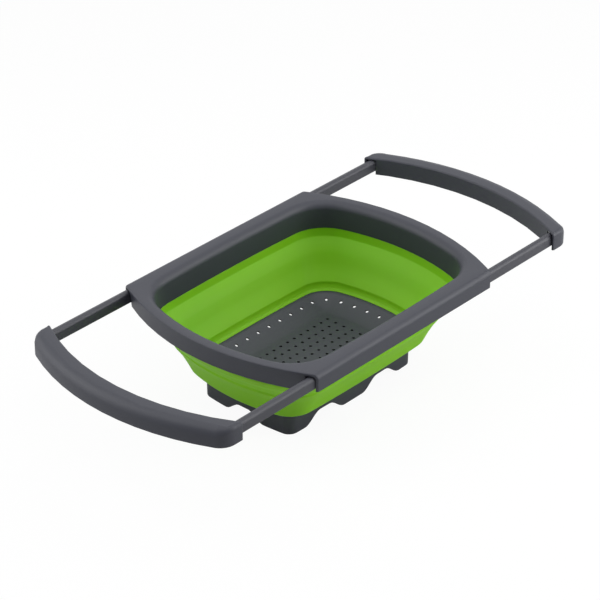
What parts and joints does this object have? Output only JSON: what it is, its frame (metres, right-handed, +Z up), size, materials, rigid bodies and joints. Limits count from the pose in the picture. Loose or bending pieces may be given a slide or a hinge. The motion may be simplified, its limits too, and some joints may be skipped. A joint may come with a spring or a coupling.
{
  "type": "collapsible over-sink colander",
  "caption": "Oblong colander with a folding silicone basket, a perforated footed base and a rim frame whose bowed handles pull out across a sink.",
  "frame": {"origin": "centre of the footprint, on the surface that the feet stand on, basket open and both handles pulled out", "axes": "+X along the handles' travel, +Y across, +Z up"},
  "size_m": [0.6308, 0.281, 0.129],
  "materials": {
    "frame_grey": "fine matte, dark grey",
    "rail_grey": "satin, dark grey",
    "base_grey": "matte, dark grey",
    "green_silicone": "soft satin, green",
    "natural_plastic": "natural, slippery",
    "screw_steel": "plated"
  },
  "bodies": {
    "base": {"strainer_base": "base_grey", "silicone_basket": "green_silicone"},
    "rim": {"rim_frame": "frame_grey", "far_channel_cover": "frame_grey", "far_cover_screw_1": "screw_steel", "far_cover_screw_2": "screw_steel", "far_cover_screw_3": "screw_steel", "far_cover_screw_4": "screw_steel", "near_channel_cover": "frame_grey", "near_cover_screw_1": "screw_steel", "near_cover_screw_2": "screw_steel", "near_cover_screw_3": "screw_steel", "near_cover_screw_4": "screw_steel"},
    "left_handle": {"left_far_grip_screw": "screw_steel", "left_far_rail": "rail_grey", "left_far_shoe": "natural_plastic", "left_grip": "frame_grey", "left_near_grip_screw": "screw_steel", "left_near_rail": "rail_grey", "left_near_shoe": "natural_plastic"},
    "right_handle": {"right_far_grip_screw": "screw_steel", "right_far_rail": "rail_grey", "right_far_shoe": "natural_plastic", "right_grip": "frame_grey", "right_near_grip_screw": "screw_steel", "right_near_rail": "rail_grey", "right_near_shoe": "natural_plastic"}
  },
  "joints": [
    {"name": "basket_collapse", "type": "slide", "parent": "base", "child": "rim", "axis": [0, 0, -1], "range_m": [0, 0.08], "deforming": ["silicone_basket"]},
    {"name": "left_handle_slide", "type": "slide", "parent": "rim", "child": "left_handle", "axis": [1, 0, 0], "range_m": [0, 0.1109]},
    {"name": "right_handle_slide", "type": "slide", "parent": "rim", "child": "right_handle", "axis": [-1, 0, 0], "range_m": [0, 0.1109]}
  ]
}
